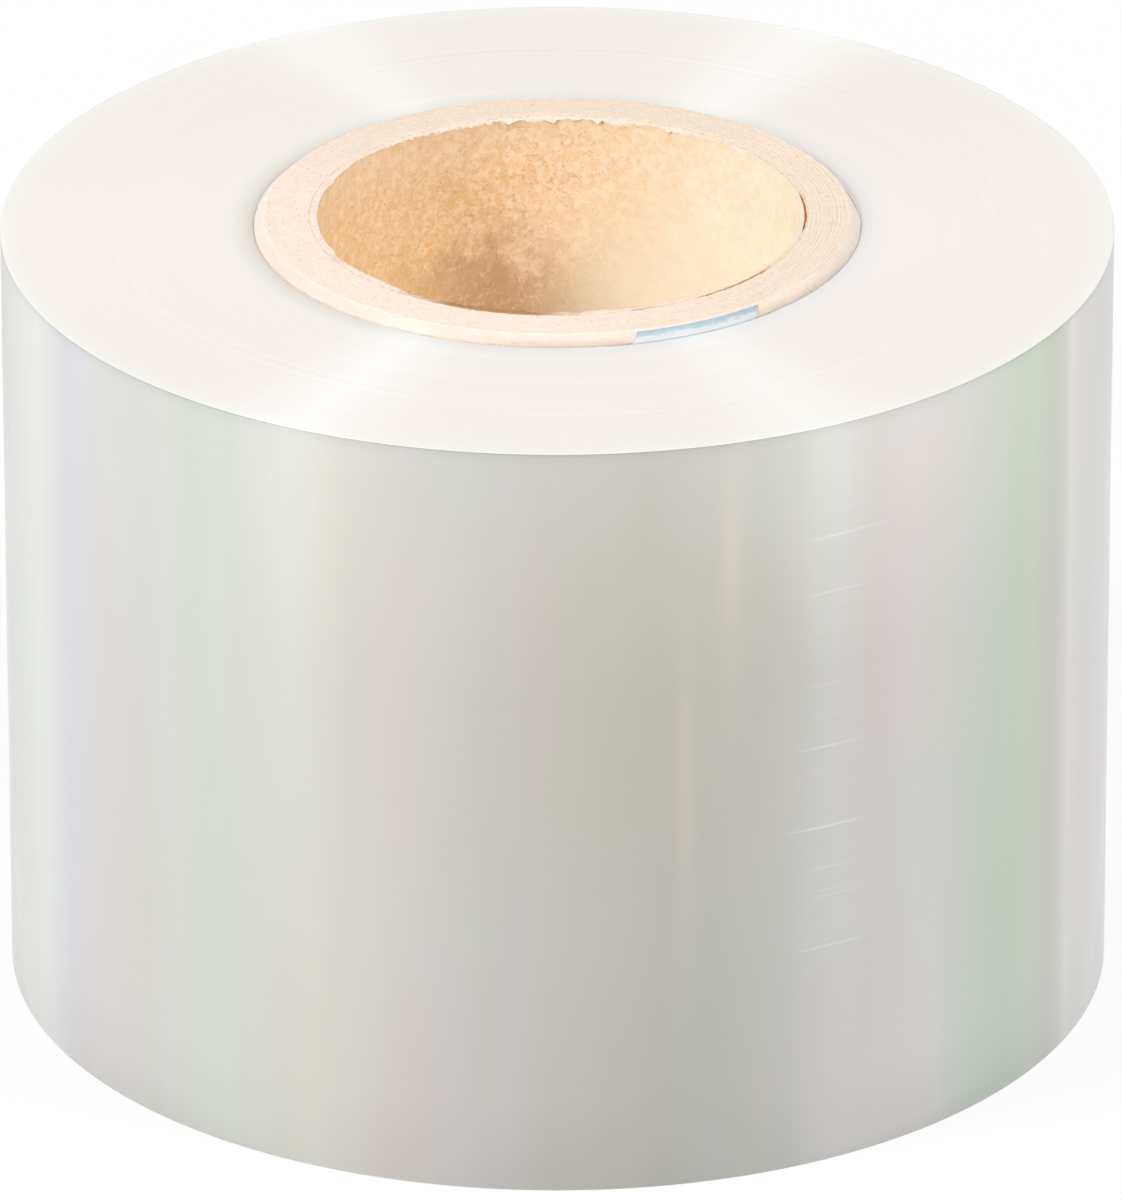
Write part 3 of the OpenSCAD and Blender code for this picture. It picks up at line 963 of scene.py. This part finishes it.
def makeCoreTube(values):
    random = np.random.default_rng(5)
    angle = np.linspace(0, 2 * math.pi, values["segments"], endpoint=False)
    degrees = np.degrees(angle)
    ply = values["plyThickness"]

    def waves(circle, longest, shortest):
        return wander(random, angle, circle, longest, shortest)

    slit = sum(window(degrees, start, end, 4) for start, end, share in values["slits"])
    opened = sum(share * window(degrees, start, end, 5) for start, end, share in values["slits"])
    slitWidth = values["slitWidth"] * opened * np.clip(1 + 0.25 * waves(boreRadius, 12, 2), 0.5, 1.5)
    ragged = 0.12 + 0.08 * waves(boreRadius, 40, 6) + 0.06 * waves(boreRadius, 4, 0.7)
    torn = sum(depth * window(degrees, at - width / 2, at + width / 2, width / 2)
               for at, width, depth in values["tears"])
    ragged = np.clip(ragged, 0, 0.9) + torn
    tooth = sum(reach * window(degrees, at - 1.3, at + 1.3, 1.6) for at, reach in values["teeth"])
    tooth = tooth + 0.04 * np.clip(waves(boreRadius, 5, 0.8), 0, 2)
    lean = 0.12 * slit
    curl = sum(reach * window(degrees, at - width, at + width, width) for at, width, reach in values["curls"])
    curl = curl * (1 - slit)
    fringeFrom, fringeTo, fringe = values["fringe"]
    hang = fringe * window(degrees, fringeFrom, fringeTo, 20) * np.clip(1 + waves(boreRadius, 12, 1), 0, 2.5)
    droop = ragged + 0.6 * tooth + hang
    shared = 0.014 * waves(boreRadius, 8, 1)
    fuzz = values["fuzz"]

    def face():
        return coreTop - fuzz + np.clip(shared + 0.02 * waves(boreRadius, 12, 0.8), -fuzz, fuzz)

    cut, liner = 0, 1
    loops = [
        (boreRadius - lean - curl - tooth, coreTop - droop, cut),
        (boreRadius - lean - 0.6 * curl + 0.2, face() - 0.3 * ragged - 0.3 * torn, cut),
        (boreRadius - lean + ply - 0.02 - 0.04 * slit, face(), liner),
        (boreRadius - lean + ply, coreTop - 0.1 - values["slitDepth"] * slit, liner),
        (boreRadius + ply + 0.02 + 0.5 * slitWidth, coreTop - 0.1 - values["slitDepth"] * slit, liner),
        (boreRadius + ply + 0.04 + slitWidth, face(), cut),
    ]
    shoulderStart = coreRadius - values["shoulderWidth"]
    for index in range(2, int((shoulderStart - boreRadius) / ply) + 1):
        seam = boreRadius + index * ply + 0.05 * waves(boreRadius, 120, 15)
        groove = 0.012 + 0.04 * np.clip(waves(boreRadius, 40, 3) - 0.1, 0, 2)
        for offset, drop in ((-0.1, 0), (0, groove), (0.1, 0), (0.33, 0)):
            loops.append((seam + offset, face() - drop, cut))
    for share in (0.0, 0.2, 0.45, 0.7, 0.9, 1.0):
        level = coreTop - 0.04 - share * (values["shoulderHeight"] - 0.04)
        soft = 0.03 * waves(coreRadius, 30, 2)
        loops.append((coreOutside(level) - 0.03 + np.minimum(soft, 0.03), level, cut))
    loops += [
        (coreRadius, filmTop - 0.3, cut),
        (coreRadius, filmTop / 2, cut),
        (coreRadius, 0.3, cut),
        (coreRadius - 0.3, 0.0, cut),
        ((coreRadius + boreRadius) / 2, 0.0, cut),
        (boreRadius + 0.3, 0.0, liner),
    ]
    levels = coreTop * (1 - np.linspace(1, 0, values["boreRows"])[:-1] ** values["boreCrowding"])
    for level in levels:
        depth = coreTop - level
        nearTop = math.exp(-depth / 3)
        height = np.maximum(level, 0.3) - (droop + 0.1) * nearTop
        inwards = lean * math.exp(-depth / 6) + curl * math.exp(-depth / 1.5)
        loops.append((boreRadius - inwards, height, liner))
    materials = [makeCutPaper(cutPaper), makeKraftLiner(kraftLiner)]
    return ringPiece("coreTube", angle, loops, materials, 50)


corePiece = makeCoreTube(coreTube)
print("core in place")


# Polyester tape with a matt blue backing, which held the film's first turn. It is painted paler
# towards the film, a painted reflection of the film's pale face
blueTape = {
    "width": 15.0,  # mm
    "length": 50.0,  # mm below the film's top face
    "thickness": 0.15,  # mm
    "lean": 45,  # degrees from the core's axis
    "angle": -63,  # degrees from +X, at the film's top face
    "columns": 33,  # of points
    "colour": "#93ADB8",
    # Painted reflection of the film, paler towards it
    "paleReflection": "#AEBAC0",
    "palestReflection": "#C6CCCE",
    "paleHeights": (1.3, 0.1),  # mm above the film where it starts to pale and is palest
    "bump": (0.6, 0.08),
    "roughness": 0.4,
    "specular": 0.5,
}


def makeTapeMaterial(values):
    material, tree = newTree("Polyester tape, matt backing")
    place = rollPlace(tree)
    patches = rollGrain(tree, place, coreRadius, 1.8, "height", 0.5, detail=3)
    # Painted reflection: paler towards the film, in patches
    starts, palest = values["paleHeights"]
    down = addNode(tree, "MapRange", {}, {
        "Value": place["height"], "From Min": filmTop + starts, "From Max": filmTop + palest,
    })
    down = addNode(tree, "Math", "ADD", {0: down, 1: patches})
    colour = addNode(tree, "ValToRGB", {}, {0: down}, stops=[
        (0.45, values["colour"]), (0.9, values["paleReflection"]), (1.0, values["palestReflection"]),
    ])
    finishMaterial(tree, values, colour, patches, {})
    return material


def makeTape(values):
    columns = values["columns"]
    lean = math.radians(values["lean"])
    across = np.linspace(-0.5, 0.5, columns) * values["width"]
    # Rows stand closer together where the tape bends over the shoulder
    drop = np.concatenate([np.arange(0, 2.6, 0.2), np.linspace(3, values["length"], 14)])
    highest = (tapeTop - filmTop + across * math.sin(lean)) / math.cos(lean)
    reach = highest + values["length"]
    along = highest - drop[:, None] / drop[-1] * reach
    sideways = across * math.cos(lean) + along * math.sin(lean)
    height = filmTop - across * math.sin(lean) + along * math.cos(lean)
    inside = coreOutside(height) + 0.02
    sheets = []
    for radius in (inside, inside + values["thickness"] - 0.02):
        turn = math.radians(values["angle"]) + np.arcsin(sideways / radius)
        sheets.append(np.stack([radius * np.cos(turn), radius * np.sin(turn), height], axis=2).reshape(-1, 3))
    # Quads over both sheets, then a strip that joins them all round the rim
    count = len(drop) * columns
    grid = np.arange(count).reshape(-1, columns)
    quads = np.stack([grid[:-1, :-1], grid[:-1, 1:], grid[1:, 1:], grid[1:, :-1]], axis=2).reshape(-1, 4)
    faces = np.stack([quads, count + quads[:, ::-1]], axis=1).reshape(-1, 4)
    rim = np.concatenate([grid[0], grid[1:, -1], grid[-1, -2::-1], grid[-2:0:-1, 0]])
    ahead = np.roll(rim, -1)
    faces = np.concatenate([faces, np.stack([ahead, rim, count + rim, count + ahead], axis=1)])
    points = np.concatenate(sheets)
    return newPiece("startingTape", points, faces, [makeTapeMaterial(values)], np.zeros(len(faces)), 40)


tapePiece = makeTape(blueTape)
print("tape in place")

for piece, node, slot in (
    (filmPiece, "film", "clear_film"),
    (corePiece, "core", "core_paper"),
    (tapePiece, "starting_tape", "blue_tape"),
):
    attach(piece, "root")
    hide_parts(node)
